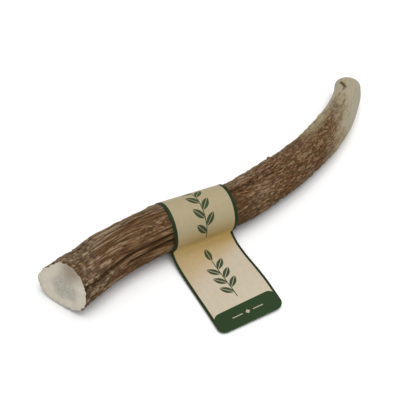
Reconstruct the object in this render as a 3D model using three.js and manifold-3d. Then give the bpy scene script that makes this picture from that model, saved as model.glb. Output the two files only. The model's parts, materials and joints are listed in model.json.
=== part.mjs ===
// An elk antler chew: a length of antler tine, sawn at its thick end and worn blunt at its tip,
// lying on its side, with a strip of printed card looped round it and glued to itself as a tag.
// Millimetres, +Z up. The antler runs along +X from its sawn end to its tip, and the tag lies towards -Y.
import * as THREE from "three";
import Module from "manifold-3d";
import { mergeVertices } from "three/addons/utils/BufferGeometryUtils.js";

const { degToRad, lerp, smoothstep } = THREE.MathUtils;

// Antler: stations from the sawn end to the tip. side is the plan offset along Y, height the axis's height,
// and radius the mean radius of the section.
const STATIONS = [
  { along: -94.5, side: 0.1, height: 11.2, radius: 11.7 },
  { along: -84, side: -1.25, height: 11.3, radius: 10.75 },
  { along: -72, side: -1.35, height: 11.45, radius: 10.6 },
  { along: -45.5, side: -6.8, height: 11.85, radius: 10.15 },
  { along: -18.2, side: -17.5, height: 11.4, radius: 9.65 },
  { along: 8, side: -20.7, height: 10.4, radius: 9.5 },
  { along: 36, side: -20.6, height: 9.15, radius: 8.85 },
  { along: 62, side: -16.4, height: 8.6, radius: 8.25 },
  { along: 82, side: -8.6, height: 7.5, radius: 7.15 },
  { along: 90.5, side: -3.5, height: 7.0, radius: 6.65 },
];
const FACETS_ROUND = 56;
const RINGS_ALONG = 50;
const OVALNESS = 0.01; // share by which the section is taller than its mean, and narrower

// The sawn end is lobed, from where the tine left the beam: lobes round the section, their size as a share
// of its radius and the angle of the first, from the tag's side upwards.
const SAWN_LOBES = [
  { count: 3, size: 0.085, at: degToRad(86) },
  { count: 2, size: 0.095, at: degToRad(31) },
];
const LOBES_REACH = 15; // length over which they die away

// Saw cut at the thick end: turned off square towards the tag's side, and leaning back.
const SAW_TURN = degToRad(15.3);
const SAW_LEAN = degToRad(12.3);
const SAW_RUN_OUT = 16; // length over which the rings turn from the saw's plane back to square

// Worn tip: a blunt dome past the last station.
const TIP_HEIGHT = 2.5;
const TIP_RINGS = 5;
const TIP_BLUNTNESS = 3.6; // superellipse exponent, where 2 is a round dome

// Bark: families of long ridges. Each has a count round the section and a height, its lines wander sideways
// over their bends, and they swell and sink from place to place.
const RIDGES = [
  { count: 13, height: 0.22, wander: 2.2, bends: 8.6, swells: 21.5, start: 0.4 },
  { count: 8, height: 0.16, wander: 1.6, bends: 6.2, swells: 15.5, start: 2.0 },
  { count: 5, height: 0.14, wander: 1.2, bends: 4.4, swells: 11.0, start: 4.1 },
];
const SWELL = 0.3; // share of a ridge's height that comes and goes
const SWELLS_ROUND = 2;
const BARK_FADES_FROM = 0.66; // share of the length where the bark starts to wear smooth
const BARK_GONE_AT = 0.94;
const CREST = 0.45; // highest that the bark stands above the section

// Pearls: low lumps scattered over the bark, closest together at the sawn end.
const PEARLS = 46;
const PEARL_HEIGHT = 0.34;
const PEARL_LENGTH = 3.6;
const PEARL_WIDTH = 2.0;
const PEARLS_REACH = 0.62; // share of the length that has pearls
const PEARLS_THINNING = 1.4; // 1 spreads them evenly, more draws them to the sawn end
const GOLDEN_ANGLE = Math.PI * (3 - Math.sqrt(5));

// Label: one strip of card, looped round the antler and glued face to face as a tag of two plies.
const CARD = 0.35; // thickness of one ply
const BAND_GAP = 0.4; // between the bark's crests and the card
const BAND_LEFT = 3; // station at the band's left edge
const BAND_RIGHT = 4; // station at the band's right edge
const BAND_YAW = degToRad(-18.3); // direction in plan of the band's width, from its left edge to its right
const BAND_LEAN = degToRad(7); // of the loop's top towards the tip
const BAND_FACETS = 44;
const BAND_STEPS = 5;
const CREASE_ANGLE = degToRad(-46); // where the tag leaves the loop, below the horizontal
const CREASE_STAND_OFF = 0.8; // from the loop to where the two plies meet
const UPPER_PLY_LEAVES = degToRad(6); // above the crease, round the loop
const LOWER_PLY_LEAVES = degToRad(14); // below the crease, round the loop
const TAG_REACH = 51; // from the antler's axis to the tag's free end, in plan
const TAG_CORNER = 3.2;
const TAG_CORNER_FACETS = 6;
const TAG_HEIGHTS = [
  { out: 13, height: 2.0 },
  { out: 20, height: 1.7 },
  { out: 30, height: 2.5 },
  { out: 38, height: 2.8 },
  { out: TAG_REACH, height: 1.8 },
];
const TAG_FACETS = 18;
const TAG_SAG = 1.9; // of the tag's left edge below its right edge
const TAG_SAG_OUT = 35; // where it sags most
const TAG_SAG_LENGTH = 14;

const BARK_COLOUR = 0x705945;
const BARK_ROUGHNESS = 0.7;
const CARD_COLOUR = 0xc9b48c;
const CARD_ROUGHNESS = 0.6;
const WELD = 1e-4; // points nearer than this are one point

const UP = new THREE.Vector3(0, 0, 1);
const wasm = await Module();
wasm.setup();

// A closed geometry as a solid that can be joined or cut.
function solidOf(geometry) {
  const bare = new THREE.BufferGeometry();
  bare.setAttribute("position", geometry.getAttribute("position"));
  bare.setIndex(geometry.index);
  const merged = mergeVertices(bare, WELD);
  return new wasm.Manifold(
    new wasm.Mesh({
      numProp: 3,
      vertProperties: new Float32Array(merged.attributes.position.array),
      triVerts: new Uint32Array(merged.index.array),
    }),
  );
}

function geometryOf(solid) {
  const { vertProperties, triVerts } = solid.getMesh();
  const geometry = new THREE.BufferGeometry();
  geometry.setAttribute("position", new THREE.BufferAttribute(vertProperties, 3));
  geometry.setIndex(new THREE.BufferAttribute(triVerts, 1));
  return geometry;
}

// The antler's axis, and its mean radius, as smooth curves through the stations.
const axis = new THREE.CatmullRomCurve3(
  STATIONS.map(({ along, side, height }) => new THREE.Vector3(along, side, height)),
  false,
  "catmullrom",
);
const radii = new THREE.CatmullRomCurve3(
  STATIONS.map(({ radius }, index) => new THREE.Vector3(index, radius, 0)),
  false,
  "catmullrom",
);
const axisLength = axis.getLength();

// Radius of the section under the bark, at a share of the length and an angle round it.
function sectionRadius(share, angle) {
  const sawn = 1 - smoothstep(share * axisLength, 0, LOBES_REACH);
  let factor = 1 - OVALNESS * Math.cos(2 * angle);
  for (const { count, size, at } of SAWN_LOBES) {
    factor += sawn * size * Math.cos(count * (angle - at));
  }
  return radii.getPoint(share).y * factor;
}

// Height of the bark above the section, at a share of the length and an angle round it.
function barkHeight(share, angle) {
  const left = 1 - smoothstep(share, BARK_FADES_FROM, BARK_GONE_AT);
  let height = 0;
  for (const { count, height: crest, wander, bends, swells, start } of RIDGES) {
    const drift = wander * Math.sin(bends * share + start);
    const swell = 1 - SWELL + SWELL * Math.sin(swells * share + SWELLS_ROUND * angle + start);
    height += crest * swell * Math.cos(count * angle + drift + start);
  }
  for (let pearl = 1; pearl <= PEARLS; pearl++) {
    const across = PEARLS_REACH * (pearl / PEARLS) ** PEARLS_THINNING;
    const turn = angle - pearl * GOLDEN_ANGLE;
    const away = ((share - across) * axisLength) / PEARL_LENGTH;
    const beside = (Math.atan2(Math.sin(turn), Math.cos(turn)) * STATIONS[0].radius) / PEARL_WIDTH;
    height += PEARL_HEIGHT * Math.exp(-(away ** 2) - beside ** 2);
  }
  return Math.min(height, CREST) * left;
}

// The outward direction of the sawn face.
function sawOutward() {
  const outward = axis.getTangent(0).negate().applyAxisAngle(UP, SAW_TURN);
  const hinge = new THREE.Vector3().crossVectors(outward, UP).normalize();
  return outward.applyAxisAngle(hinge, SAW_LEAN);
}

// One ring of the antler's skin, at a share of the axis, grown to scale and moved past along the axis.
function ring(share, scale, past) {
  const centre = axis.getPoint(share);
  const tangent = axis.getTangent(share);
  const front = new THREE.Vector3().crossVectors(tangent, UP).normalize();
  const top = new THREE.Vector3().crossVectors(front, tangent);
  const outward = sawOutward();
  const runOut = Math.max(0, 1 - (share * axisLength) / SAW_RUN_OUT) ** 2;
  const points = [];
  for (let facet = 0; facet < FACETS_ROUND; facet++) {
    const angle = (facet / FACETS_ROUND) * 2 * Math.PI;
    const radius = scale * (sectionRadius(share, angle) + barkHeight(share, angle));
    const offset = front.clone().multiplyScalar(radius * Math.cos(angle));
    offset.addScaledVector(top, radius * Math.sin(angle));
    const slant = (-runOut * offset.dot(outward)) / tangent.dot(outward);
    points.push(centre.clone().add(offset).addScaledVector(tangent, slant + past));
  }
  return points;
}

function antlerGeometry() {
  const rings = [];
  for (let step = 0; step <= RINGS_ALONG; step++) {
    rings.push(ring(step / RINGS_ALONG, 1, 0));
  }
  for (let step = 1; step <= TIP_RINGS; step++) {
    const turn = (step / (TIP_RINGS + 1)) * (Math.PI / 2);
    const scale = Math.cos(turn) ** (2 / TIP_BLUNTNESS);
    rings.push(ring(1, scale, TIP_HEIGHT * Math.sin(turn) ** (2 / TIP_BLUNTNESS)));
  }
  const points = rings.flat();
  const sawCentre = points.push(axis.getPoint(0)) - 1;
  const tip = points.push(axis.getPoint(1).addScaledVector(axis.getTangent(1), TIP_HEIGHT)) - 1;
  const last = (rings.length - 1) * FACETS_ROUND;
  const triangles = [];
  for (let facet = 0; facet < FACETS_ROUND; facet++) {
    const next = (facet + 1) % FACETS_ROUND;
    triangles.push(sawCentre, facet, next);
    for (let start = 0; start < last; start += FACETS_ROUND) {
      const [a, b] = [start + facet, start + next];
      const [c, d] = [a + FACETS_ROUND, b + FACETS_ROUND];
      triangles.push(a, c, b, b, c, d);
    }
    triangles.push(last + next, last + facet, tip);
  }
  const geometry = new THREE.BufferGeometry().setFromPoints(points);
  geometry.setIndex(triangles);
  return geometry;
}

// One of the band's two edges on the antler's axis, and the inside radius of the loop there.
function bandEdge(station) {
  const { along, side, height, radius } = STATIONS[station];
  const inside = radius * (1 + OVALNESS) + CREST + BAND_GAP;
  return { point: new THREE.Vector3(along, side, height), inside };
}

const bandLeft = bandEdge(BAND_LEFT);
const bandRight = bandEdge(BAND_RIGHT);
const toLeft = bandLeft.point.clone().sub(bandRight.point);
const bandWidth = -toLeft.dot(new THREE.Vector3(Math.cos(BAND_YAW), Math.sin(BAND_YAW), 0));

// Side view of the folded strip at the band's right edge: X runs out from the antler's axis along the tag,
// and Y up from the axis. The loop is a ring, and both plies of the tag leave it at the crease.
function stripProfile() {
  const outer = bandRight.inside + CARD;
  const onLoop = (angle) => new THREE.Vector2(outer * Math.cos(angle), outer * Math.sin(angle));
  const plies = new THREE.SplineCurve([
    onLoop(CREASE_ANGLE).add(new THREE.Vector2(CREASE_STAND_OFF, 0)),
    ...TAG_HEIGHTS.map(({ out, height }) => new THREE.Vector2(out, height - bandRight.point.z)),
  ]).getPoints(TAG_FACETS);
  const loop = [];
  for (let step = 0; step <= BAND_FACETS; step++) {
    const turned = lerp(UPPER_PLY_LEAVES, 2 * Math.PI - LOWER_PLY_LEAVES, step / BAND_FACETS);
    loop.push(onLoop(CREASE_ANGLE + turned));
  }
  const lowerPly = plies.map(({ x, y }) => new THREE.Vector2(x, y - CARD));
  const upperPly = plies.map(({ x, y }) => new THREE.Vector2(x, y + CARD)).reverse();
  const profile = new THREE.Shape([...loop, ...lowerPly, ...upperPly]);
  profile.holes.push(new THREE.Path().absarc(0, 0, bandRight.inside, 0, 2 * Math.PI, true));
  return profile;
}

// The strip seen from above, with the tag's two corners rounded.
function stripPlan() {
  const plan = new THREE.Shape();
  const cornerOut = TAG_REACH - TAG_CORNER;
  plan.moveTo(-TAG_REACH, 0);
  plan.lineTo(cornerOut, 0);
  plan.absarc(cornerOut, TAG_CORNER, TAG_CORNER, -Math.PI / 2, 0, false);
  plan.absarc(cornerOut, bandWidth - TAG_CORNER, TAG_CORNER, 0, Math.PI / 2, false);
  plan.lineTo(-TAG_REACH, bandWidth);
  return plan;
}

function labelGeometry() {
  const strip = new THREE.ExtrudeGeometry(stripProfile(), {
    depth: bandWidth,
    steps: BAND_STEPS,
    curveSegments: BAND_FACETS,
    bevelEnabled: false,
  });
  const dieCut = new THREE.ExtrudeGeometry(stripPlan(), {
    depth: 2 * TAG_REACH,
    curveSegments: TAG_CORNER_FACETS,
    bevelEnabled: false,
  });
  dieCut.rotateX(Math.PI / 2);
  dieCut.translate(0, TAG_REACH, 0);
  const geometry = geometryOf(solidOf(strip).intersect(solidOf(dieCut)));
  // The loop follows the antler from its right edge to its left and leans over, and the tag sags to the left.
  const widening = (bandLeft.inside + CARD) / (bandRight.inside + CARD) - 1;
  const drift = toLeft.dot(new THREE.Vector3(Math.sin(BAND_YAW), -Math.cos(BAND_YAW), 0));
  const position = geometry.getAttribute("position");
  for (let index = 0; index < position.count; index++) {
    const [out, up, across] = [position.getX(index), position.getY(index), position.getZ(index)];
    const leftward = across / bandWidth;
    const onLoop = leftward * (1 - smoothstep(out, bandRight.inside, TAG_REACH));
    const grown = 1 + widening * onLoop;
    const sag = TAG_SAG * leftward * Math.exp(-(((out - TAG_SAG_OUT) / TAG_SAG_LENGTH) ** 2));
    position.setX(index, out * grown + drift * onLoop);
    position.setY(index, up * grown + toLeft.z * onLoop - sag);
    position.setZ(index, across - up * Math.tan(BAND_LEAN));
  }
  return geometry;
}

function named(name, geometry, color, roughness) {
  geometry.computeVertexNormals();
  const mesh = new THREE.Mesh(geometry, new THREE.MeshStandardMaterial({ color, roughness, metalness: 0 }));
  mesh.name = name;
  return mesh;
}

const antler = named("antler", antlerGeometry(), BARK_COLOUR, BARK_ROUGHNESS);
const label = named("label", labelGeometry(), CARD_COLOUR, CARD_ROUGHNESS);
label.rotation.x = Math.PI / 2;
const wrapped = new THREE.Group();
wrapped.add(label);
wrapped.rotation.z = BAND_YAW - Math.PI / 2;
wrapped.position.copy(bandRight.point);

// The part's origin is under the middle of its plan box, on the surface that it lies on.
const part = new THREE.Group();
const lying = new THREE.Group();
lying.add(antler, wrapped);
part.add(lying);
const box = new THREE.Box3().setFromObject(part, true);
const middle = box.getCenter(new THREE.Vector3());
lying.position.set(-middle.x, -middle.y, -box.min.z);

export default part;
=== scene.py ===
"""An elk antler chew with a tag of printed card, dressed over its CAD frame for a studio picture."""

import json
import math

import bpy
import numpy as np
from bpy.props import FloatProperty, FloatVectorProperty, PointerProperty
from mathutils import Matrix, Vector


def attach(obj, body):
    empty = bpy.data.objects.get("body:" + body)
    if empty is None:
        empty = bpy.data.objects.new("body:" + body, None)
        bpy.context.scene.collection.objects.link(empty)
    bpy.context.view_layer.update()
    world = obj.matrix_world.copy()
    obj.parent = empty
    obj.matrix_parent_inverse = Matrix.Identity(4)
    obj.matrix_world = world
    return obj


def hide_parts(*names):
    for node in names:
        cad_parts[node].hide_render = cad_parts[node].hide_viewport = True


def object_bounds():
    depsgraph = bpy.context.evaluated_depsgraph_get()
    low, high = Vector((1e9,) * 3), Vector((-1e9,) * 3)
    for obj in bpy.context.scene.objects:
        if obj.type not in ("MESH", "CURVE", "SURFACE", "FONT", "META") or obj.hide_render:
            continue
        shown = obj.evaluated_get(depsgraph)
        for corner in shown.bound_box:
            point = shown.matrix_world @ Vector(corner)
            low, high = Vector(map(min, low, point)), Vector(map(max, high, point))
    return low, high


bl_info = {
    "name": "Elk Antler Chew",
    "version": (1, 0, 0),
    "blender": (4, 5, 0),
    "location": "3D View > Sidebar > Antler Chew",
    "description": "Bark, sawn face and card tag of an elk antler chew, with its studio",
    "category": "Object",
}

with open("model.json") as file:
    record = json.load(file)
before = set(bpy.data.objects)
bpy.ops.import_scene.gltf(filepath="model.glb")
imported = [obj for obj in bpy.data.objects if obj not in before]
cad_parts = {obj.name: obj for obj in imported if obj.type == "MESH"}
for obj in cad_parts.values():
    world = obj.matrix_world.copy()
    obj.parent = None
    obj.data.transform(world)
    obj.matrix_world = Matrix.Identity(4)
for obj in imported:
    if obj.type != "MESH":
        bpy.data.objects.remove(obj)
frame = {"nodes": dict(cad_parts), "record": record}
CAD_LOW, CAD_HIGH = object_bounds()
SAWN_END = frame["record"]["mounts"][0]
SAW_PLACE, SAW_NORMAL = np.array(SAWN_END["pos_m"]), np.array(SAWN_END["axis"])
MM = 0.001
UP = np.array((0.0, 0.0, 1.0))
NEARLY_NONE = 1e-6

# The antler's axis from its sawn end to its tip, and its mean radius: along, side, height, radius,
# in millimetres. The card's two edges are at stations of their own.
STATIONS = np.array(
    [
        (-94.5, 0.1, 11.2, 11.7),
        (-84.0, -1.25, 11.3, 10.75),
        (-72.0, -1.35, 11.45, 10.6),
        (-45.5, -6.8, 11.85, 10.15),
        (-18.2, -17.5, 11.4, 9.65),
        (8.0, -20.7, 10.4, 9.5),
        (36.0, -20.6, 9.15, 8.85),
        (62.0, -16.4, 8.6, 8.25),
        (82.0, -8.6, 7.5, 7.15),
        (90.5, -3.5, 7.0, 6.65),
    ]
)
BAND_LEFT, BAND_RIGHT = 3, 4
TO_ORIGIN = SAW_PLACE / MM - STATIONS[0, :3]
AXIS_STEPS = 60  # from one station to the next
BATCH = 4000  # points that are straightened at a time

# The worn end of the tip: how square its shoulders are, the millimetres lost in its middle, and how much
# more is lost for each millimetre to the front and to the top.
TIP_BLUNTNESS = 3.8
TIP_WEAR, TIP_SLANT, TIP_LEAN = 0.3, 0.09, 0.27

# The antler's mesh: the metres within which points are merged or count as sawn, the share of an edge that
# has to run along the antler for it to be split, and how far from the sawn end that goes on, in millimetres.
MERGED_WITHIN, ON_SAW = 0.000002, 0.00002
LENGTHWISE, SPLIT_UNTIL = 0.8, 168
SMOOTH_LEVELS = 2
BARK_SMOOTH, CARD_SMOOTH = math.radians(62), math.radians(40)

# The stage, in metres. Each light has a place, a size and its share of the key light's power.
FLOOR_SIZE, FLOOR_DROP = 6, 0.00002
LIGHTS = {
    "softbox": (Vector((0.06, -0.16, 0.93)), 0.7, 1.0),
    "front_fill": (Vector((-0.55, -0.65, 0.6)), 0.8, 0.08),
}
SENSOR_WIDTH, CLIP_START, CLIP_END = 36, 0.01, 20


def linear(code):
    """Linear colour of a six-digit sRGB code."""
    parts = [int(code[i : i + 2], 16) / 255 for i in (0, 2, 4)]
    return [p / 12.92 if p <= 0.04045 else ((p + 0.055) / 1.055) ** 2.4 for p in parts]


def colour(name, description, code):
    """A colour setting with an sRGB default."""
    return FloatVectorProperty(
        name=name, description=description, subtype="COLOR", size=3, min=0, max=1, default=linear(code)
    )


def length(name, description, millimetres):
    """A length setting with a default in millimetres."""
    return FloatProperty(
        name=name, description=description, subtype="DISTANCE", unit="LENGTH", default=millimetres * MM
    )


def place(name, description, metres):
    """A setting for a place, with a default in metres."""
    return FloatVectorProperty(
        name=name, description=description, subtype="TRANSLATION", unit="LENGTH", default=metres
    )


class AntlerSettings(bpy.types.PropertyGroup):
    """Relief and colours of the antler."""

    groove_depth: length("Groove depth", "From the ridges' crests to the grooves' floors", 0.62)
    lump_height: length("Lump height", "Height of the slow swells under the bark", 0.7)
    groove_colour: colour("Grooves", "Dark bark in the grooves", "2d1b08")
    bark_colour: colour("Bark", "Bark between grooves and crests", "5e452b")
    crest_colour: colour("Crests", "Rubbed crests of the ridges and pearls", "958770")
    grey_colour: colour("Grey bark", "Weathered bark", "6e5b46")
    rust_colour: colour("Rust bark", "Reddish patches of bark", "603a20")
    worn_colour: colour("Worn tip", "Bone bared at the tip", "938974")
    # Painted shade round the outside of the worn tip.
    side_shade_colour: colour("Painted shade on the worn tip's side", "Painted shade, greyer and darker, round the outside of the tip", "8b8674")
    crack_colour: colour("Crack", "Brown dirt in the crack at the tip", "4e3c22")
    faded_colour: colour("Faded bark", "Thin bark next to the worn tip", "968b70")
    rim_colour: colour("Sawn rim", "Dense bone round the sawn face", "bfb8a7")
    stain_colour: colour("Stained rim", "Brownish stain at the top of the sawn face", "806f5c")
    core_colour: colour("Sawn core", "Porous bone in the middle of the sawn face", "a6a295")


class CardSettings(bpy.types.PropertyGroup):
    """Sizes and inks of the card tag."""

    thickness: length("Card thickness", "Of one ply", 0.34)
    corner: length("Corner radius", "At the tag's free end", 3.2)
    border: length("Border", "Width of the dark line along each long edge of the band", 1.45)
    panel: length("End panel", "Length of the dark panel at the tag's free end", 9.2)
    card_colour: colour("Card", "Unprinted card of the tag", "b2a692")
    band_colour: colour("Card of the band", "Deeper brown where the strip goes round the antler", "978b6e")
    # Painted warm shade next to the crease.
    crease_shade_colour: colour("Painted shade at the crease", "Painted warm shade where the strip is creased", "9a7b30")
    # Painted highlight along the fold, lighter than the shaded crease beside it.
    fold_highlight_colour: colour("Fold", "Painted highlight along the crease itself", "cbb074")
    ink_colour: colour("Dark ink", "Border, end panel and leaves", "23361b")
    edge_colour: colour("Cut edge", "Edges of the card, stained by the ink", "2f3d26")


class StageSettings(bpy.types.PropertyGroup):
    """Floor, lights and camera."""

    lens: FloatProperty(name="Lens", description="Focal length", subtype="DISTANCE_CAMERA", default=72)
    camera_place: place("Camera", "Camera's place", (-0.1975, -0.1484, 0.2630))
    camera_aim: place("Aim", "Point on the floor that the camera looks at", (-0.0134, 0.0265, 0.0))
    floor_colour: colour("Floor", "Plain pale floor", "eeeeee")
    key_power: FloatProperty(
        name="Key light", description="Power of the softbox overhead", unit="POWER", default=6.2
    )
    sky: FloatProperty(name="Surround", description="Strength of the white surround", default=0.78)


class Graph:
    """One node tree, whose nodes are added in the order that the values flow."""

    COLUMNS, COLUMN_WIDTH, ROW_HEIGHT = 12, 220, 260

    def __init__(self, tree):
        self.tree = tree

    def feed(self, socket, value):
        """Links a socket to another, or sets its value."""
        if isinstance(value, bpy.types.NodeSocket):
            self.tree.links.new(value, socket)
        else:
            socket.default_value = value

    def node(self, kind, inputs=None, **settings):
        """Adds a node with its settings and inputs."""
        made = self.tree.nodes.new(kind)
        row, column = divmod(len(self.tree.nodes), self.COLUMNS)
        made.location = (self.COLUMN_WIDTH * column, -self.ROW_HEIGHT * row)
        for name, value in settings.items():
            setattr(made, name, value)
        for key, value in (inputs or {}).items():
            self.feed(made.inputs[key], value)
        return made

    def math(self, operation, *values):
        """Arithmetic on single values."""
        return self.node("ShaderNodeMath", dict(enumerate(values)), operation=operation).outputs[0]

    def swing(self, value, amount):
        """How far a value is above a half, times an amount."""
        return self.math("MULTIPLY", self.math("SUBTRACT", value, 0.5), amount)

    def off_half(self, value, width):
        """None where a value passes a half, rising to one where it is a width away."""
        return self.step(self.math("ABSOLUTE", self.math("SUBTRACT", value, 0.5)), 0.0, width)

    def step(self, value, low, high, start=0.0, end=1.0):
        """A smooth rise from start to end while value goes from low to high."""
        inputs = {"Value": value, "From Min": low, "From Max": high, "To Min": start, "To Max": end}
        return self.node("ShaderNodeMapRange", inputs, interpolation_type="SMOOTHSTEP").outputs[0]

    def blend(self, share, first, second):
        """A value between two."""
        return self.node("ShaderNodeMix", {0: share, 2: first, 3: second}, data_type="FLOAT").outputs[0]

    def vector(self, operation, *values):
        """Arithmetic on vectors."""
        made = self.node("ShaderNodeVectorMath", dict(enumerate(values)), operation=operation)
        return made.outputs["Value" if operation in {"LENGTH", "DISTANCE"} else "Vector"]

    def split(self, vector):
        """The three parts of a vector."""
        return self.node("ShaderNodeSeparateXYZ", {0: vector}).outputs

    def joined(self, *parts):
        """A vector of three parts."""
        return self.node("ShaderNodeCombineXYZ", dict(enumerate(parts))).outputs[0]

    def shifted(self, at, clouds, reach):
        """A place moved about by coloured noise."""
        away = self.vector("SUBTRACT", clouds, (0.5, 0.5, 0.5))
        return self.vector("ADD", at, self.vector("MULTIPLY", away, reach))

    def cloud_node(self, at, stretch, detail=2.0, roughness=0.5):
        """A noise node, with a scale of its own along each axis."""
        inputs = {"Vector": self.vector("MULTIPLY", at, stretch), "Scale": 1.0}
        return self.node("ShaderNodeTexNoise", {**inputs, "Detail": detail, "Roughness": roughness})

    def noise(self, *settings):
        """Cloudy values from none to one."""
        return self.cloud_node(*settings).outputs[0]

    def coloured_noise(self, *settings):
        """Cloudy colours, or three cloudy values."""
        return self.cloud_node(*settings).outputs["Color"]

    def cells(self, at, stretch):
        """Distance to the middle of rounded cells."""
        inputs = {"Vector": self.vector("MULTIPLY", at, stretch), "Scale": 1.0}
        return self.node("ShaderNodeTexVoronoi", inputs).outputs["Distance"]

    def mix(self, share, first, second, blend="MIX"):
        """A colour between two, or one blended over the other."""
        made = self.node("ShaderNodeMix", {0: share, 6: first, 7: second}, data_type="RGBA", blend_type=blend)
        return made.outputs[2]

    def shaded(self, tone, gain):
        """A colour made lighter or darker."""
        return self.mix(1.0, tone, self.joined(gain, gain, gain), "MULTIPLY")

    def speckled(self, tone, at, stretch, amount):
        """A colour varied by the shared fine noise."""
        inputs = {"Color": tone, "Place": at, "Stretch": stretch, "Amount": amount}
        group = self.node("ShaderNodeGroup", node_tree=speckle_group())
        for key, value in inputs.items():
            self.feed(group.inputs[key], value)
        return group.outputs[0]

    def finish(self, shader, tone, roughness, gloss):
        """Gives a shader its colour, roughness and gloss."""
        for name, value in (("Base Color", tone), ("Roughness", roughness), ("Specular IOR Level", gloss)):
            self.feed(shader.inputs[name], value)

    def bump(self, shader, height, strength, distance):
        """Gives a shader a fine relief."""
        made = self.node("ShaderNodeBump", {"Strength": strength, "Distance": distance, "Height": height})
        self.feed(shader.inputs["Normal"], made.outputs[0])


def speckle_group():
    """Shared by bark, bone, card and floor: lightens and darkens a colour by fine noise."""
    name = "Speckle"
    if name in bpy.data.node_groups:
        return bpy.data.node_groups[name]
    tree = bpy.data.node_groups.new(name, "ShaderNodeTree")
    for label, kind in (("Color", "Color"), ("Place", "Vector"), ("Stretch", "Vector"), ("Amount", "Float")):
        tree.interface.new_socket(label, in_out="INPUT", socket_type="NodeSocket" + kind)
    tree.interface.new_socket("Color", in_out="OUTPUT", socket_type="NodeSocketColor")
    graph = Graph(tree)
    given = graph.node("NodeGroupInput").outputs
    grain = graph.noise(given["Place"], given["Stretch"], 3.0, 0.6)
    gain = graph.math("ADD", graph.swing(grain, given["Amount"]), 1.0)
    graph.node("NodeGroupOutput", {"Color": graph.shaded(given["Color"], gain)})
    return tree


def material(name):
    """An empty material, its graph and its Principled shader."""
    made = bpy.data.materials.new(name)
    made.use_nodes = True
    return made, Graph(made.node_tree), made.node_tree.nodes["Principled BSDF"]


def opaque(rgb):
    """A colour with full alpha."""
    return (*rgb, 1.0)


def deselect():
    """Leaves object mode's selection empty."""
    bpy.ops.object.select_all(action="DESELECT")


def activate(piece):
    """Selects one piece alone."""
    deselect()
    piece.select_set(True)
    bpy.context.view_layer.objects.active = piece


def apply_modifiers(piece):
    """Applies every modifier of a piece, in order."""
    activate(piece)
    for modifier in list(piece.modifiers):
        bpy.ops.object.modifier_apply(modifier=modifier.name)


def points_of(mesh):
    """Vertex places in metres."""
    flat = np.empty(len(mesh.vertices) * 3, np.float32)
    mesh.vertices.foreach_get("co", flat)
    return flat.reshape(-1, 3).astype(float)


def move_points(mesh, metres):
    """Puts every vertex in its new place."""
    mesh.vertices.foreach_set("co", metres.astype(np.float32).ravel())


def store(mesh, name, kind, values):
    """Keeps one value for each vertex under a name."""
    layer = mesh.attributes.new(name, kind, "POINT")
    field = "vector" if kind == "FLOAT_VECTOR" else "value"
    layer.data.foreach_set(field, np.ascontiguousarray(values, np.float32).ravel())


def on_saw(metres):
    """Which points lie in the plane of the saw cut."""
    return np.abs((metres - SAW_PLACE) @ SAW_NORMAL) < ON_SAW


def smooth_curve(stations, steps):
    """Points of a smooth curve through the stations, with the same number of steps between each two."""
    ends = np.vstack([2 * stations[0] - stations[1], stations, 2 * stations[-1] - stations[-2]])
    points = []
    for i in range(len(stations) - 1):
        a, b, c, d = ends[i : i + 4]
        for t in np.arange(steps) / steps:
            points.append(
                b + 0.5 * t * (c - a + t * (2 * a - 5 * b + 4 * c - d + t * (3 * (b - c) + d - a)))
            )
    return np.array([*points, stations[-1]])


class Axis:
    """The antler's axis in millimetres, sampled closely, with a frame at each sample."""

    def __init__(self):
        self.points = smooth_curve(STATIONS, AXIS_STEPS)[:, :3] + TO_ORIGIN
        steps = np.gradient(self.points, axis=0)
        self.tangents = steps / np.linalg.norm(steps, axis=1)[:, None]
        run = np.linalg.norm(np.diff(self.points, axis=0), axis=1)
        self.along = np.concatenate([[0.0], np.cumsum(run)])
        front = np.cross(self.tangents, UP)
        self.front = front / np.linalg.norm(front, axis=1)[:, None]
        self.top = np.cross(self.front, self.tangents)

    def straightened(self, points):
        """Each point as length along, offset to the front and offset to the top, and its outward direction."""
        nearest = np.concatenate(
            [
                np.argmin(((part[:, None, :] - self.points[None]) ** 2).sum(2), axis=1)
                for part in np.array_split(points, max(1, len(points) // BATCH))
            ]
        )
        away = points - self.points[nearest]
        along = self.along[nearest] + (away * self.tangents[nearest]).sum(1)
        front = (away * self.front[nearest]).sum(1)
        top = (away * self.top[nearest]).sum(1)
        outward = front[:, None] * self.front[nearest] + top[:, None] * self.top[nearest]
        outward /= np.maximum(np.linalg.norm(outward, axis=1), NEARLY_NONE)[:, None]
        return np.c_[along, front, top], outward


def round_axis(grain):
    """Straightened points as length along, distance from the axis and angle up from the front."""
    return grain[:, 0], np.hypot(grain[:, 1], grain[:, 2]), np.arctan2(grain[:, 2], grain[:, 1])


def short_turn(angle):
    """The same turn, by no more than half a circle either way."""
    return (angle + math.pi) % (2 * math.pi) - math.pi


def squared_tip(axis, places):
    """The same points with the tip's end worn flat and slanting, most at its front and top."""
    grain, _ = axis.straightened(places)
    along, radius, _ = round_axis(grain)
    beyond = along - axis.along[-1]
    cap = beyond > 0
    high, wide = beyond[cap] / beyond.max(), radius[cap] / radius[cap].max()
    grow = (high**TIP_BLUNTNESS + wide**TIP_BLUNTNESS) ** (-1 / TIP_BLUNTNESS)
    shaped = places.copy()
    shaped[cap] = axis.points[-1] + (places[cap] - axis.points[-1]) * grow[:, None]
    lost = TIP_WEAR + TIP_SLANT * grain[cap, 1] + TIP_LEAN * np.maximum(grain[cap, 2], 0)
    shaped[cap] -= (high * grow * lost)[:, None] * axis.tangents[-1]
    return shaped


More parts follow.
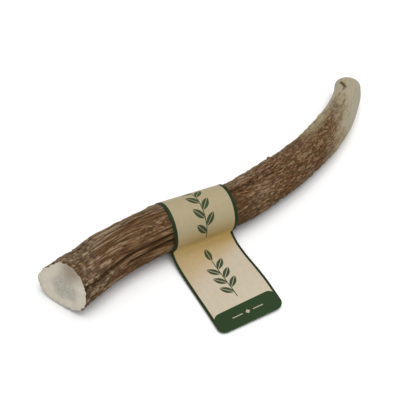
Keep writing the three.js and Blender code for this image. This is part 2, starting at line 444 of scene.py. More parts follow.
# The strip's course, in millimetres, seen from its right edge. It is the CAD's, with a tighter loop.
BAND_YAW = math.radians(-18.3)
BAND_LEAN = math.radians(7)
BAND_CLEARANCE = 0.35
BAND_DROP = 0.2  # the loop hangs from the antler's top
OVALNESS = 0.01
CREASE_ANGLE = math.radians(-46)
CREASE_STAND_OFF = 0.8
UPPER_PLY_LEAVES = math.radians(6)
LOWER_PLY_LEAVES = math.radians(14)
TAG_REACH = 51.0
TAG_HEIGHTS = ((13, 2.0), (20, 1.7), (30, 2.5), (38, 2.8), (TAG_REACH, 1.8))
TAG_SAG, TAG_SAG_OUT, TAG_SAG_LENGTH = 1.9, 35.0, 14.0
PLY_GAP = 0.01  # from the middle of the glue to each ply
# How finely the course is sampled, before and after its corners are rounded, and how often they are.
TAG_STEPS, LOOP_POINTS, ROUGH_POINTS, ROUNDINGS, COURSE_POINTS = 24, 160, 1500, 60, 3000
STRIP_ROWS, STRIP_COLUMNS = 360, 24
# Bark under the card is pushed this far inside it, up to a margin past the card's edges and then less and
# less, until it is left alone.
PRESSED_BY, PRESS_MARGIN, PRESS_SLOPE, PRESS_REACH = 0.06, 0.8, 0.35, 3.0


def even_steps(points, count):
    """The same course in equal steps, and its whole length."""
    run = np.concatenate([[0.0], np.cumsum(np.linalg.norm(np.diff(points, axis=0), axis=1))])
    at = np.linspace(0, run[-1], count)
    return np.c_[np.interp(at, run, points[:, 0]), np.interp(at, run, points[:, 1])], run[-1]


class Strip:
    """The card's course from the end of its upper ply, over the antler and back to the end of its lower ply."""

    def __init__(self, thickness):
        left, right = STATIONS[BAND_LEFT], STATIONS[BAND_RIGHT]
        self.inside = right[3] * (1 + OVALNESS) + BAND_CLEARANCE
        self.widening = (left[3] - right[3]) * (1 + OVALNESS) / self.inside
        self.to_left = left[:3] - right[:3]
        self.across = np.array((math.cos(BAND_YAW), math.sin(BAND_YAW), 0.0))
        self.outward = np.array((math.sin(BAND_YAW), -math.cos(BAND_YAW), 0.0))
        self.width = -self.to_left @ self.across
        self.right = right[:3] + TO_ORIGIN
        middle = self.inside + thickness / 2
        drop = np.array((0.0, BAND_DROP))
        towards_crease = np.array((math.cos(CREASE_ANGLE), math.sin(CREASE_ANGLE)))
        crease = (self.inside + thickness) * towards_crease - drop
        stations = [crease + (CREASE_STAND_OFF, 0.0)]
        stations += [np.array((out, height - right[2])) for out, height in TAG_HEIGHTS]
        tag = smooth_curve(np.array(stations), TAG_STEPS)
        self.crease = even_steps(tag, len(tag))[1]
        first = CREASE_ANGLE + UPPER_PLY_LEAVES
        last = CREASE_ANGLE + 2 * math.pi - LOWER_PLY_LEAVES
        turns = np.linspace(first, last, LOOP_POINTS)
        loop = middle * np.c_[np.cos(turns), np.sin(turns)] - drop
        lift = np.array((0.0, thickness / 2 + PLY_GAP))
        course, _ = even_steps(np.vstack([tag[::-1] + lift, loop, tag - lift]), ROUGH_POINTS)
        for _ in range(ROUNDINGS):
            course[1:-1] = (course[:-2] + 2 * course[1:-1] + course[2:]) / 4
        self.course, self.length = even_steps(course, COURSE_POINTS)

    def place(self, along, leftward):
        """Where a point of the flat strip lies, in millimetres."""
        spot = np.linspace(0, self.length, len(self.course))
        out, up = (np.interp(along, spot, self.course[:, i]) for i in (0, 1))
        share = np.clip((out - self.inside) / (TAG_REACH - self.inside), 0, 1)
        held = leftward * (1 - share * share * (3 - 2 * share))
        grown = 1 + self.widening * held
        sag = TAG_SAG * leftward * np.exp(-(((out - TAG_SAG_OUT) / TAG_SAG_LENGTH) ** 2))
        far = out * grown + (self.to_left @ self.outward) * held
        high = up * grown + self.to_left[2] * held - sag
        left = leftward * self.width - up * math.tan(BAND_LEAN)
        return self.right + far[:, None] * self.outward + high[:, None] * UP - left[:, None] * self.across

    def pressed(self, places):
        """The same points, with the bark under the card pushed inside the card's loop."""
        off = places - self.right
        across = -(off @ self.across)
        leftward = across / self.width
        for _ in range(2):
            high = off[:, 2] - self.to_left[2] * leftward
            leftward = (across + high * math.tan(BAND_LEAN)) / self.width
        far = off @ self.outward - (self.to_left @ self.outward) * leftward
        high = high + BAND_DROP
        past_edge = np.maximum(np.maximum(-leftward, leftward - 1) * self.width - PRESS_MARGIN, 0)
        room = self.inside * (1 + self.widening * leftward) - PRESSED_BY + PRESS_SLOPE * past_edge
        excess = np.maximum(1 - room / np.maximum(np.hypot(far, high), NEARLY_NONE), 0)
        excess *= past_edge < PRESS_REACH
        return places - (excess * far)[:, None] * self.outward - (excess * high)[:, None] * UP


# Furrows in the bark, and last a short crack with a branch in the tip: from and to, in millimetres from the
# sawn end, the angles there, in degrees up from the front, width and depth.
FURROWS = (
    (-4, 54, 27, 31, 1.4, 0.75),
    (24, 60, 16, 11, 1.4, 0.7),
    (-4, 17, -31, -29, 1.5, 0.9),
    (6, 52, 118, 124, 0.8, 0.6),
    (14, 48, 104, 101, 0.7, 0.5),
    (-4, 26, 146, 150, 1.0, 0.7),
    (74, 109, 85, 87, 0.7, 0.5),
    (78, 112, 76, 72, 0.7, 0.45),
    (-4, 62, -70, -75, 1.5, 0.9),
    (4, 76, -116, -121, 1.3, 0.8),
    (-4, 58, -162, -157, 1.5, 0.9),
    (70, 142, -50, -55, 1.0, 0.6),
    (64, 136, -106, -101, 1.1, 0.6),
    (78, 146, -146, -151, 0.9, 0.6),
    (66, 138, 174, 169, 0.9, 0.5),
    (180.4, 189.6, 95, 127, 1.6, 0.85),
    (177.6, 184.8, 103, 108, 1.5, 0.5),
)
FURROW_RAMP, SHORT_RAMP = 4, 0.25  # millimetres in which each end runs out, or the share of a short furrow
FURROW_SPREAD = 0.6  # of its width, from its middle
# How furrows meander: millimetres aside, millimetres along, and the shift from one furrow to the next.
MEANDERS = ((0.4, 6.3, 2.1), (0.2, 2.9, 1.3))
# Small knobs that stand out of the bark: millimetres from the sawn end, degrees, breadth, height.
KNOBS = ((112.7, 150, 0.9, 0.9), (48.0, 140, 2.2, 0.6), (146.0, -12, 3.0, 0.5), (27.0, -140, 2.5, 0.5))
# Where the bark gives way to worn bone, by degrees round the antler.
WORN_ANGLES = (-180, -130, -60, 0, 30, 60, 90, 120, 150, 180)
WORN_STARTS = (158, 154, 150, 150, 156, 162, 171, 175, 163, 158)


def furrowed(grain):
    """How deep each point lies in a furrow, from none to one."""
    along, radius, angle = round_axis(grain)
    deepest = np.zeros(len(grain))
    for number, (start, end, first, last, width, depth) in enumerate(FURROWS):
        meander = sum(swing * np.sin(along / run + shift * number) for swing, run, shift in MEANDERS)
        middle = np.radians(np.interp(along, (start, end), (first, last)))
        aside = short_turn(angle - middle) * radius + meander * min(width, 1)
        ramp = min(FURROW_RAMP, (end - start) * SHORT_RAMP)
        ends = np.clip((along - start) / ramp, 0, 1) * np.clip((end - along) / ramp, 0, 1)
        deepest = np.maximum(deepest, depth * ends * np.exp(-((aside / (FURROW_SPREAD * width)) ** 2)))
    return deepest


def risen(grain):
    """How far the knobs lift each point."""
    along, radius, angle = round_axis(grain)
    lift = np.zeros(len(grain))
    for spot, degrees, breadth, height in KNOBS:
        away = (along - spot) ** 2 + (short_turn(angle - math.radians(degrees)) * radius) ** 2
        lift += height * np.exp(-away / breadth**2)
    return lift


def bark_pattern(graph, grain, furrow):
    """Height of the bark's grooves, ridges and pearls, from none to one, drawn on the straightened antler."""
    along = graph.split(grain)[0]
    beyond_card = graph.step(along, 62.0, 96.0)

    # Grooves meander, so their place is warped sideways before they are drawn.
    bent = graph.shifted(grain, graph.coloured_noise(grain, (0.04, 0.1, 0.1), 1.0), (0.0, 4.0, 4.0))
    long_noise = graph.noise(bent, (0.03, 0.62, 0.62), 1.5, 0.5)
    short_noise = graph.noise(bent, (0.17, 0.6, 0.6), 2.5, 0.6)
    groove = graph.off_half(graph.blend(beyond_card, long_noise, short_noise), 0.12)
    fine_noise = graph.noise(bent, (0.085, 0.95, 0.95), 2.0, 0.55)
    gritty_noise = graph.noise(bent, (0.3, 0.85, 0.85), 2.0, 0.55)
    fine = graph.off_half(graph.blend(beyond_card, fine_noise, gritty_noise), 0.14)
    ridges = graph.math("ADD", graph.math("MULTIPLY", groove, 0.58), graph.math("MULTIPLY", fine, 0.42))

    # Uneven pearls crowd at the sawn end, and short flecks of bark replace the long ridges beyond the card.
    shaken = graph.shifted(bent, graph.coloured_noise(grain, (0.5, 0.6, 0.6)), (3.0, 2.6, 2.6))
    dome = graph.step(graph.cells(shaken, (0.44, 0.78, 0.78)), 0.72, 0.22)
    fleck = graph.step(graph.cells(shaken, (0.3, 0.7, 0.7)), 0.68, 0.14)
    near_saw = graph.step(along, 30.0, 2.0, 0.0, 0.27)
    far_half = graph.step(along, 92.0, 124.0, 0.0, 0.12)
    patch = graph.noise(grain, (0.05, 0.085, 0.085))
    crowd = graph.step(graph.math("ADD", patch, graph.math("ADD", near_saw, far_half)), 0.56, 0.74)
    lumps = graph.blend(beyond_card, dome, fleck)
    pearled = graph.math("MULTIPLY", lumps, graph.math("ADD", graph.math("MULTIPLY", groove, 0.4), 0.65))
    relief = graph.blend(graph.math("MULTIPLY", crowd, 0.8), ridges, pearled)
    return graph.math("MAXIMUM", graph.math("SUBTRACT", relief, furrow), -0.6)


def bark_left(graph, grain, worn):
    """One where bark is left, none where the tip is worn to smooth bone, with a ragged line between."""
    ragged = graph.swing(graph.noise(grain, (0.1, 0.22, 0.22), 3.0, 0.6), 30.0)
    return graph.step(graph.math("ADD", worn, ragged), 9.0, -11.0)


def bark_relief(settings):
    """Geometry nodes that carve the bark's pattern into the antler and swell it."""
    tree = bpy.data.node_groups.new("Bark relief", "GeometryNodeTree")
    for way in ("INPUT", "OUTPUT"):
        tree.interface.new_socket("Geometry", in_out=way, socket_type="NodeSocketGeometry")
    graph = Graph(tree)

    def kept(name, kind="FLOAT"):
        return graph.node("GeometryNodeInputNamedAttribute", {"Name": name}, data_type=kind).outputs[0]

    shape = graph.node("NodeGroupInput").outputs[0]
    grain, furrow = kept("grain", "FLOAT_VECTOR"), kept("furrow")
    relief = bark_pattern(graph, grain, furrow)
    bark = graph.math("MAXIMUM", bark_left(graph, grain, kept("worn")), furrow)
    carved = graph.math("MULTIPLY", graph.math("SUBTRACT", relief, 0.6), settings.groove_depth)
    swell = graph.swing(graph.noise(grain, (0.045, 0.07, 0.07), 1.0), settings.lump_height)
    raised = graph.math("ADD", graph.math("MULTIPLY", carved, bark), swell)
    raised = graph.math("ADD", raised, graph.math("MULTIPLY", kept("rise"), MM))
    raised = graph.math("MULTIPLY", raised, kept("skin"))
    offset = graph.vector("SCALE", kept("outward", "FLOAT_VECTOR"))
    graph.feed(offset.node.inputs["Scale"], raised)
    shape = graph.node("GeometryNodeSetPosition", {"Geometry": shape, "Offset": offset}).outputs[0]
    graph.node("NodeGroupOutput", {0: shape})
    return tree


def bark_tone(graph, settings, grain, depth, worn):
    """Brown bark, dark in its grooves and rubbed on its crests; its tone also carries painted shade in the
    grooves and on the underside.
    """
    along, front, top = graph.split(grain)

    # Weathering greys the back and the sawn end, rust comes in small patches, and painted shade darkens the
    # underside.
    backward = graph.step(front, 3.0, -6.0, 0.0, 0.28)
    by_saw = graph.step(along, 32.0, 4.0, 0.0, 0.14)
    weathered = graph.math("ADD", graph.noise(grain, (0.035, 0.09, 0.09)), backward)
    grey = graph.step(graph.math("ADD", weathered, by_saw), 0.54, 0.8)
    rusty = graph.step(graph.coloured_noise(grain, (0.08, 0.18, 0.18)), 0.5, 0.66, 0.0, 0.4)
    # Painted shade: the tone darkens towards the underside, where less light reaches.
    painted_underside_shade = graph.step(top, 1.0, -7.0, 1.0, 0.84)
    body = graph.mix(grey, opaque(settings.bark_colour), opaque(settings.grey_colour))
    body = graph.mix(rusty, body, opaque(settings.rust_colour))
    # The relief also scales the tone: darker in the grooves and lighter on the crests. This is partly the bark's
    # own colour and partly painted shade in the grooves and painted light on the crests.
    body = graph.shaded(body, graph.math("MULTIPLY", graph.step(depth, -0.2, 1.15, 0.45, 1.32), painted_underside_shade))
    rubbed_by_saw = graph.math("MULTIPLY", by_saw, graph.step(depth, 0.5, 1.0, 0.0, 1.5))
    rubbed = graph.math("ADD", graph.step(depth, 0.52, 1.25, 0.0, 0.5), rubbed_by_saw)
    body = graph.mix(rubbed, body, opaque(settings.crest_colour))
    body = graph.mix(graph.step(depth, 0.25, -0.3, 0.0, 0.8), body, opaque(settings.groove_colour))
    body = graph.speckled(body, grain, (0.6, 1.4, 1.4), 0.7)
    body = graph.speckled(body, grain, (0.1, 0.3, 0.3), 0.5)

    # Bark fades where it thins towards the worn tip, first on the inside of the bend.
    slid = graph.math("ADD", front, graph.math("MULTIPLY", along, 0.09))
    inside_bend = graph.math("MULTIPLY", graph.step(along, 126.0, 150.0), graph.step(slid, 14.0, 8.6))
    thin = graph.math("MAXIMUM", graph.step(worn, -24.0, 2.0, 0.0, 0.85), inside_bend)
    patchy = graph.step(graph.noise(grain, (0.11, 0.4, 0.4), 3.0, 0.6), 0.34, 0.58, 0.45, 1.0)
    patchy = graph.math("MULTIPLY", patchy, graph.step(depth, 0.0, 0.7, 0.6, 1.0))
    return graph.mix(graph.math("MULTIPLY", thin, patchy), body, opaque(settings.faded_colour))


def bone_tone(graph, settings, grain, furrow, streaks):
    """Bare bone of the worn tip, with painted shade round its outside and dirt in its crack."""
    # Painted shade: the bone turns greyer and darker round the tip's outside.
    outside = graph.step(graph.split(grain)[1], 2.5, 5.0, 0.0, 0.6)
    bone = graph.mix(outside, opaque(settings.worn_colour), opaque(settings.side_shade_colour))
    bone = graph.speckled(bone, grain, (0.08, 0.9, 0.9), 0.3)
    bone = graph.speckled(bone, grain, (0.5, 2.0, 2.0), 0.35)
    crack = graph.step(graph.math("ADD", furrow, graph.swing(streaks, 0.8)), 0.02, 0.7, 0.0, 0.95)
    crack = graph.math("MULTIPLY", crack, graph.step(furrow, 0.01, 0.22))
    return graph.mix(crack, bone, opaque(settings.crack_colour))


def bark_material(settings):
    """Bark, bared to bone at the tip."""
    made, graph, shader = material("Antler bark")

    def kept(name, output="Fac"):
        return graph.node("ShaderNodeAttribute", attribute_name=name).outputs[output]

    grain, furrow, worn = kept("grain", "Vector"), kept("furrow"), kept("worn")
    relief = bark_pattern(graph, grain, furrow)
    bark = bark_left(graph, grain, worn)
    streaks = graph.noise(grain, (0.13, 1.5, 1.5), 4.0, 0.65)
    depth = graph.math("ADD", relief, graph.swing(streaks, 0.7))
    body = bark_tone(graph, settings, grain, depth, worn)
    bone = bone_tone(graph, settings, grain, furrow, streaks)

    # Bone at the tip keeps stains of bark in thin lines along its grain.
    stains = graph.swing(graph.noise(grain, (0.22, 0.5, 0.5), 4.0, 0.65), 2.0)
    shown = graph.mix(graph.step(graph.math("ADD", bark, stains), 0.05, 0.85), bone, body)
    roughness = graph.blend(bark, 0.45, graph.blend(relief, 0.85, 0.6))
    graph.finish(shader, shown, roughness, gloss=0.08)
    fine = graph.noise(grain, (1.2, 4.5, 4.5), 3.0, 0.65)
    graph.bump(shader, fine, strength=0.5, distance=0.3 * MM)
    return made


def sawn_material(settings):
    """Pale dense bone round a grey porous core, crossed by faint saw marks."""
    made, graph, shader = material("Sawn bone")
    grain = graph.node("ShaderNodeAttribute", attribute_name="grain").outputs["Vector"]
    _, front, top = graph.split(grain)
    flat = graph.joined(0.0, front, top)
    off_centre = graph.vector("DISTANCE", flat, (0.0, 0.9, -0.2))
    wavy = graph.swing(graph.noise(flat, (0.0, 0.22, 0.22)), 5.0)
    core = graph.step(graph.math("ADD", off_centre, wavy), 8.2, 3.8)
    pores = graph.math("MULTIPLY", graph.step(graph.cells(flat, (1.0, 1.5, 1.5)), 0.42, 0.2), core)
    tone = graph.mix(core, opaque(settings.rim_colour), opaque(settings.core_colour))
    tone = graph.mix(graph.math("MULTIPLY", pores, 0.35), tone, opaque(settings.groove_colour))
    stained = graph.step(graph.vector("DISTANCE", flat, (0.0, 3.0, 10.0)), 8.5, 1.0, 0.0, 0.8)
    tone = graph.mix(stained, tone, opaque(settings.stain_colour))
    tone = graph.speckled(tone, flat, (1.0, 0.4, 0.4), 0.3)
    tone = graph.speckled(tone, flat, (1.0, 1.8, 1.8), 0.25)
    graph.finish(shader, tone, roughness=0.62, gloss=0.25)
    saw_marks = graph.math("MULTIPLY", graph.noise(flat, (0.0, 0.35, 3.2)), 0.6)
    graph.bump(shader, graph.math("SUBTRACT", saw_marks, pores), strength=0.35, distance=0.2 * MM)
    return made


class ANTLER_OT_antler(bpy.types.Operator):
    """Carves the bark and the sawn face from a copy of the CAD antler"""

    bl_idname = "antler_chew.antler"
    bl_label = "Antler"

    def execute(self, context):
        settings = context.scene.antler_settings
        axis = Axis()
        mesh = frame["nodes"]["antler"].data.copy()
        mesh.name = "antler_bone"
        mesh.materials.clear()
        piece = bpy.data.objects.new("antler_bone", mesh)
        context.scene.collection.objects.link(piece)
        activate(piece)
        self.split_rings(mesh, axis)
        self.sharpen_saw(mesh)
        smooth = piece.modifiers.new("Smooth", "SUBSURF")
        smooth.levels = smooth.render_levels = SMOOTH_LEVELS
        apply_modifiers(piece)

        # The bark is carved outwards from the axis, and along the saw's plane at its edge.
        places = points_of(mesh)
        sawn = on_saw(places)
        places = squared_tip(axis, places / MM)
        move_points(mesh, places * MM)
        grain, outward = axis.straightened(places)
        outward[sawn] -= (outward[sawn] @ SAW_NORMAL)[:, None] * SAW_NORMAL
        on_skin = np.zeros(len(mesh.vertices))
        for face in mesh.polygons:
            corners = list(face.vertices)
            if not sawn[corners].all():
                on_skin[corners] = 1.0
        degrees = np.degrees(round_axis(grain)[2])
        store(mesh, "grain", "FLOAT_VECTOR", grain)
        store(mesh, "outward", "FLOAT_VECTOR", outward)
        store(mesh, "skin", "FLOAT", on_skin)
        store(mesh, "worn", "FLOAT", grain[:, 0] - np.interp(degrees, WORN_ANGLES, WORN_STARTS))
        store(mesh, "furrow", "FLOAT", furrowed(grain))
        store(mesh, "rise", "FLOAT", risen(grain))
        carve = piece.modifiers.new("Bark relief", "NODES")
        carve.node_group = bark_relief(settings)
        apply_modifiers(piece)
        strip = Strip(context.scene.card_settings.thickness / MM)
        resting = strip.pressed(points_of(piece.data) / MM) * MM
        move_points(piece.data, np.clip(resting, CAD_LOW, CAD_HIGH))

        piece.data.materials.append(bark_material(settings))
        piece.data.materials.append(sawn_material(settings))
        for face in piece.data.polygons:
            face.material_index = int(sawn[list(face.vertices)].all())
        activate(piece)
        bpy.ops.object.shade_smooth_by_angle(angle=BARK_SMOOTH)
        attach(piece, "root")
        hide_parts("antler")
        return {"FINISHED"}

    @staticmethod
    def split_rings(mesh, axis):
        """Merges the CAD's triangles to rings of quads, and splits these along the bark for its short pearls."""
        bpy.ops.object.mode_set(mode="EDIT")
        bpy.ops.mesh.select_all(action="SELECT")
        bpy.ops.mesh.remove_doubles(threshold=MERGED_WITHIN)
        bpy.ops.mesh.tris_convert_to_quads(face_threshold=math.pi, shape_threshold=math.pi)
        bpy.ops.mesh.select_mode(type="EDGE")
        bpy.ops.mesh.select_all(action="DESELECT")
        bpy.ops.object.mode_set(mode="OBJECT")
        places = points_of(mesh)
        along = axis.straightened(places / MM)[0][:, 0]
        sawn = on_saw(places)
        for edge in mesh.edges:
            a, b = edge.vertices
            run, whole = abs(along[a] - along[b]), np.linalg.norm(places[b] - places[a]) / MM
            in_bark = along[a] < SPLIT_UNTIL and not (sawn[a] and sawn[b])
            edge.select = bool(in_bark and run > LENGTHWISE * whole)
        bpy.ops.object.mode_set(mode="EDIT")
        bpy.ops.mesh.subdivide(number_cuts=1)
        bpy.ops.object.mode_set(mode="OBJECT")

    @staticmethod
    def sharpen_saw(mesh):
        """Creases the saw's edge, so that it stays sharp while the rest is smoothed."""
        sawn = on_saw(points_of(mesh))
        beside = {}
        for face in mesh.polygons:
            flat = bool(sawn[list(face.vertices)].all())
            for key in face.edge_keys:
                beside.setdefault(key, set()).add(flat)
        rim = np.array([len(beside[edge.key]) > 1 for edge in mesh.edges], np.float32)
        mesh.attributes.new("crease_edge", "FLOAT", "EDGE").data.foreach_set("value", rim)


# The print, in millimetres.
TAG_BORDER = 0.72  # share of the band's border that the tag's has
PANEL_SHOULDER = 3.4
PANEL_LAP = 0.6  # how far the panel reaches under the border
RULE_AT, RULE_HALF, RULE_FROM, RULE_TO = 4.55, 0.2, 2.4, 7.0
LOZENGE_OUTER, LOZENGE_INNER = 1.1, 0.95
STEM_HALF, STEM_BEFORE, LEAF_OFF_STEM = 0.2, 2, 0.3
LEAF_SOFT, RIB_INNER, RIB_OUTER = 0.06, 0.05, 0.16
SOFT = 0.08  # half the width of a printed line's edge
LINE_INK = (0.66, 0.62, 0.6, 1.0)  # the border's ink, as a share of the panel's


def leaf(graph, ahead, aside, size, width):
    """A pointed leaf from the origin, with a bare rib down its middle."""
    middle = graph.math("SUBTRACT", graph.math("MULTIPLY", ahead, 2 / size), 1.0)
    taper = graph.math("SUBTRACT", 1.0, graph.math("MULTIPLY", middle, middle))
    off_rib = graph.math("ABSOLUTE", aside)
    inside = graph.math("SUBTRACT", graph.math("MULTIPLY", taper, width / 2), off_rib)
    blade = graph.step(inside, -LEAF_SOFT, LEAF_SOFT)
    return graph.math("MULTIPLY", blade, graph.step(off_rib, RIB_INNER, RIB_OUTER))


def turned(graph, ahead, aside, degrees):
    """The same point along and across a direction turned away."""
    cos, sin = math.cos(math.radians(degrees)), math.sin(math.radians(degrees))
    along = graph.math("ADD", graph.math("MULTIPLY", ahead, cos), graph.math("MULTIPLY", aside, sin))
    across = graph.math("SUBTRACT", graph.math("MULTIPLY", aside, cos), graph.math("MULTIPLY", ahead, sin))
    return along, across


def within(graph, value, low, high, soft=0.07):
    """One between low and high, none outside."""
    rise = graph.step(value, low - soft, low + soft)
    return graph.math("MULTIPLY", rise, graph.step(value, high + soft, high - soft))


def garland(graph, ahead, aside, start, pairs, pitch, size, width, slant):
    """A stem with leaves to either side of it in turn, and one leaf at its end."""
    end = start + (pairs + 0.5) * pitch
    stem = within(graph, aside, -STEM_HALF, STEM_HALF)
    drawn = graph.math("MULTIPLY", stem, within(graph, ahead, start - STEM_BEFORE, end))
    drawn = graph.math("MAXIMUM", drawn, leaf(graph, graph.math("SUBTRACT", ahead, end), aside, size, width))
    for side, first in ((1.0, start), (-1.0, start + pitch / 2)):
        step = graph.math("WRAP", graph.math("SUBTRACT", ahead, first), pitch, 0.0)
        over = graph.math("MULTIPLY", aside, side)
        along, across = turned(graph, graph.math("SUBTRACT", step, LEAF_OFF_STEM), over, slant)
        row = within(graph, ahead, first, first + pairs * pitch)
        leaves = graph.math("MULTIPLY", leaf(graph, along, across, size, width), row)
        drawn = graph.math("MAXIMUM", drawn, leaves)
    return drawn


def card_material(settings, strip):
    """Printed face of the card: pale brown field, dark border and end panel, and garlands of leaves."""
    made, graph, shader = material("Printed card")
    flat = graph.node("ShaderNodeUVMap", uv_map="flat").outputs[0]
    along, across, _ = graph.split(flat)
    from_end = graph.math("MINIMUM", along, graph.math("SUBTRACT", strip.length, along))
    half = strip.width / 2
    aside = graph.math("SUBTRACT", across, half)
    off_middle = graph.math("ABSOLUTE", aside)

    # The end panel has rounded shoulders inside the border's two lines.
    border, panel = settings.border / MM, settings.panel / MM
    on_band = graph.step(from_end, strip.crease - 3, strip.crease + 5)
    bordered = graph.math("ADD", off_middle, graph.blend(on_band, TAG_BORDER * border, border))
    edge_line = graph.step(bordered, half - SOFT, half + SOFT)
    straight = half - TAG_BORDER * border + PANEL_LAP - PANEL_SHOULDER
    sideways = graph.math("MAXIMUM", graph.math("SUBTRACT", off_middle, straight), 0.0)
    endways = graph.math("MAXIMUM", graph.math("SUBTRACT", from_end, panel - PANEL_SHOULDER), 0.0)
    off_panel = graph.vector("LENGTH", graph.joined(sideways, endways, 0.0))
    in_panel = graph.step(off_panel, PANEL_SHOULDER + SOFT, PANEL_SHOULDER - SOFT)

    # One garland runs round the band and another lies on the tag; the end panel has a rule and a lozenge.
    on_loop = garland(
        graph, along, aside, start=strip.crease + 8, pairs=6, pitch=6.6, size=6.6, width=2.9, slant=40
    )
    on_upper_ply = garland(graph, along, aside, start=15.0, pairs=3, pitch=5.4, size=6.6, width=2.8, slant=42)
    leaves = graph.math("MAXIMUM", on_loop, on_upper_ply)
    rule = graph.math(
        "MULTIPLY",
        within(graph, from_end, RULE_AT - RULE_HALF, RULE_AT + RULE_HALF),
        within(graph, off_middle, RULE_FROM, RULE_TO),
    )
    off_rule = graph.math("ABSOLUTE", graph.math("SUBTRACT", from_end, RULE_AT))
    lozenge = graph.step(graph.math("ADD", off_rule, off_middle), LOZENGE_OUTER, LOZENGE_INNER)
    pale = graph.math("MULTIPLY", graph.math("MAXIMUM", rule, lozenge), in_panel)

    # The card's tone, by millimetres from its crease: painted warm shade next to it, reaching further and
    # paler towards the left edge, and a painted highlight along the fold.
    past_crease = graph.math("SUBTRACT", from_end, strip.crease + 1.0)
    spread = graph.math("ADD", 0.6, graph.math("MULTIPLY", across, 0.8 / strip.width))
    before_crease = graph.step(graph.math("DIVIDE", past_crease, spread), -18.0, 0.0)
    crease_shade_share = graph.math("MULTIPLY", before_crease, graph.step(past_crease, 13.0, 0.0))
    paler = graph.math("MULTIPLY", crease_shade_share, graph.math("MULTIPLY", across, 0.3 / strip.width))
    off_fold = graph.math("ABSOLUTE", graph.math("SUBTRACT", past_crease, 0.6))
    card = graph.mix(on_band, opaque(settings.card_colour), opaque(settings.band_colour))
    # Painted warm shade next to the crease, where the fold keeps light from the card.
    card = graph.mix(graph.math("MULTIPLY", crease_shade_share, 0.9), card, opaque(settings.crease_shade_colour))
    card = graph.mix(paler, card, opaque(settings.card_colour))
    # Painted highlight: a narrow light line along the fold.
    card = graph.mix(graph.step(off_fold, 4.2, 0.4, 0.0, 0.75), card, opaque(settings.fold_highlight_colour))
    card = graph.speckled(card, flat, (0.35, 0.5, 0.0), 0.16)
    card = graph.speckled(card, flat, (4.0, 2.2, 0.0), 0.16)
    ink = graph.speckled(opaque(settings.ink_colour), flat, (1.6, 1.6, 0.0), 0.3)
    face = graph.mix(graph.math("MULTIPLY", leaves, 0.95), card, ink)
    face = graph.mix(edge_line, face, graph.mix(1.0, ink, LINE_INK, "MULTIPLY"))
    face = graph.mix(in_panel, face, ink)
    face = graph.mix(graph.math("MULTIPLY", pale, 0.8), face, card)
    graph.finish(shader, face, roughness=0.5, gloss=0.1)
    fibres = graph.noise(flat, (3.0, 6.0, 1.0), 3.0, 0.6)
    graph.bump(shader, fibres, strength=0.12, distance=0.1 * MM)
    return made


def plain_card_material(name, tone, amount):
    """Unprinted card, mottled by its fibres."""
    made, graph, shader = material(name)
    flat = graph.node("ShaderNodeUVMap", uv_map="flat").outputs[0]
    mottled = graph.speckled(opaque(tone), flat, (2.0, 2.0, 0.0), amount)
    graph.finish(shader, mottled, roughness=0.75, gloss=0.1)
    return made


class ANTLER_OT_card(bpy.types.Operator):
    """Folds the strip of printed card round the antler and glues it to itself as a tag"""

    bl_idname = "antler_chew.card"
    bl_label = "Card tag"

    def execute(self, context):
        settings = context.scene.card_settings
        strip = Strip(settings.thickness / MM)
        deselect()
        bpy.ops.mesh.primitive_grid_add(x_subdivisions=STRIP_ROWS, y_subdivisions=STRIP_COLUMNS, size=1)
        piece = context.active_object
        piece.name = piece.data.name = "card_tag"
        mesh = piece.data
        start = points_of(mesh) + 0.5

        # Both ends of the flat strip have rounded corners.
        along = start[:, 0] * strip.length
        corner = settings.corner / MM
        from_end = np.minimum(along, strip.length - along)
        short = np.maximum(corner - from_end, 0)
        trimmed = corner - np.sqrt(np.maximum(corner**2 - short**2, 0))
        leftward = 0.5 + (start[:, 1] - 0.5) * (1 - 2 * trimmed / strip.width)
        move_points(mesh, strip.place(along, leftward) * MM)
        for layer in list(mesh.uv_layers):
            mesh.uv_layers.remove(layer)
        corners = np.empty(len(mesh.loops), np.int32)
        mesh.loops.foreach_get("vertex_index", corners)
        flat = mesh.uv_layers.new(name="flat")
        flat.data.foreach_set("uv", np.c_[along, leftward * strip.width][corners].astype(np.float32).ravel())
        mesh.update()

        mesh.materials.append(card_material(settings, strip))
        mesh.materials.append(plain_card_material("Bare card", settings.card_colour, 0.25))
        mesh.materials.append(plain_card_material("Cut edge", settings.edge_colour, 0.3))
        ply = piece.modifiers.new("Ply", "SOLIDIFY")
        ply.thickness = settings.thickness
        ply.offset = 0
        ply.use_even_offset = True
        ply.material_offset = 1
        ply.material_offset_rim = 2
        apply_modifiers(piece)
        bpy.ops.object.shade_smooth_by_angle(angle=CARD_SMOOTH)
        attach(piece, "root")
        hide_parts("label")
        return {"FINISHED"}


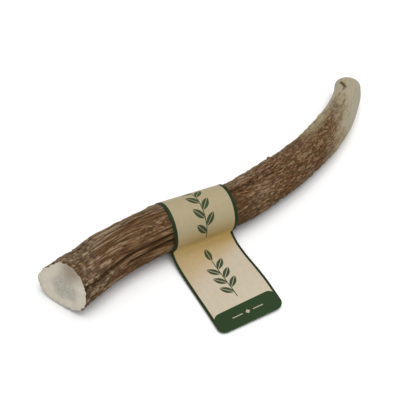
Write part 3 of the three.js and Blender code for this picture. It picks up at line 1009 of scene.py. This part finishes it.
class ANTLER_OT_stage(bpy.types.Operator):
    """Sets the pale floor, the soft light and the camera"""

    bl_idname = "antler_chew.stage"
    bl_label = "Stage"

    def execute(self, context):
        scene = context.scene
        settings = scene.stage_settings
        scene.view_settings.view_transform = "Standard"
        deselect()
        bpy.ops.mesh.primitive_plane_add(size=FLOOR_SIZE, location=(0, 0, -FLOOR_DROP))
        floor = context.active_object
        floor.name = "floor"
        made, graph, shader = material("Floor")
        at = graph.node("ShaderNodeTexCoord").outputs["Object"]
        tone = graph.speckled(opaque(settings.floor_colour), at, (30.0, 30.0, 30.0), 0.01)
        graph.finish(shader, tone, roughness=0.9, gloss=0.5)
        floor.data.materials.append(made)

        scene.world = scene.world or bpy.data.worlds.new("World")
        scene.world.use_nodes = True
        sky = scene.world.node_tree.nodes["Background"]
        sky.inputs["Color"].default_value = (1, 1, 1, 1)
        sky.inputs["Strength"].default_value = settings.sky

        aim = Vector(settings.camera_aim)
        for name, (stand, size, share) in LIGHTS.items():
            deselect()
            bpy.ops.object.light_add(type="AREA", location=stand)
            lamp = context.active_object
            lamp.name = name
            lamp.data.shape = "SQUARE"
            lamp.data.size = size
            lamp.data.energy = settings.key_power * share
            lamp.rotation_euler = (aim - stand).to_track_quat("-Z", "Y").to_euler()

        deselect()
        bpy.ops.object.camera_add(location=settings.camera_place)
        camera = context.active_object
        camera.rotation_euler = (aim - camera.location).to_track_quat("-Z", "Y").to_euler()
        camera.data.lens = settings.lens
        camera.data.sensor_width = SENSOR_WIDTH
        camera.data.clip_start = CLIP_START
        camera.data.clip_end = CLIP_END
        scene.camera = camera
        return {"FINISHED"}


class ANTLER_PT_panel(bpy.types.Panel):
    """Lists the pieces and their settings"""

    bl_label = "Antler Chew"
    bl_idname = "ANTLER_PT_panel"
    bl_space_type = "VIEW_3D"
    bl_region_type = "UI"
    bl_category = "Antler Chew"

    def draw(self, context):
        scene = context.scene
        for operator, group in (
            (ANTLER_OT_antler, scene.antler_settings),
            (ANTLER_OT_card, scene.card_settings),
            (ANTLER_OT_stage, scene.stage_settings),
        ):
            box = self.layout.box()
            box.operator(operator.bl_idname)
            for name in group.bl_rna.properties.keys():
                if name not in {"rna_type", "name"}:
                    box.prop(group, name)


GROUPS = (
    ("antler_settings", AntlerSettings),
    ("card_settings", CardSettings),
    ("stage_settings", StageSettings),
)
CLASSES = (ANTLER_OT_antler, ANTLER_OT_card, ANTLER_OT_stage, ANTLER_PT_panel)


def register():
    """Registers the settings, operators and panel."""
    for name, group in GROUPS:
        bpy.utils.register_class(group)
        setattr(bpy.types.Scene, name, PointerProperty(type=group))
    for made in CLASSES:
        bpy.utils.register_class(made)


def unregister():
    """Takes them out again."""
    for made in reversed(CLASSES):
        bpy.utils.unregister_class(made)
    for name, group in reversed(GROUPS):
        delattr(bpy.types.Scene, name)
        bpy.utils.unregister_class(group)


def main():
    """Builds the pieces and the stage."""
    register()
    bpy.ops.antler_chew.antler()
    bpy.ops.antler_chew.card()
    bpy.ops.antler_chew.stage()


if __name__ == "__main__":
    main()
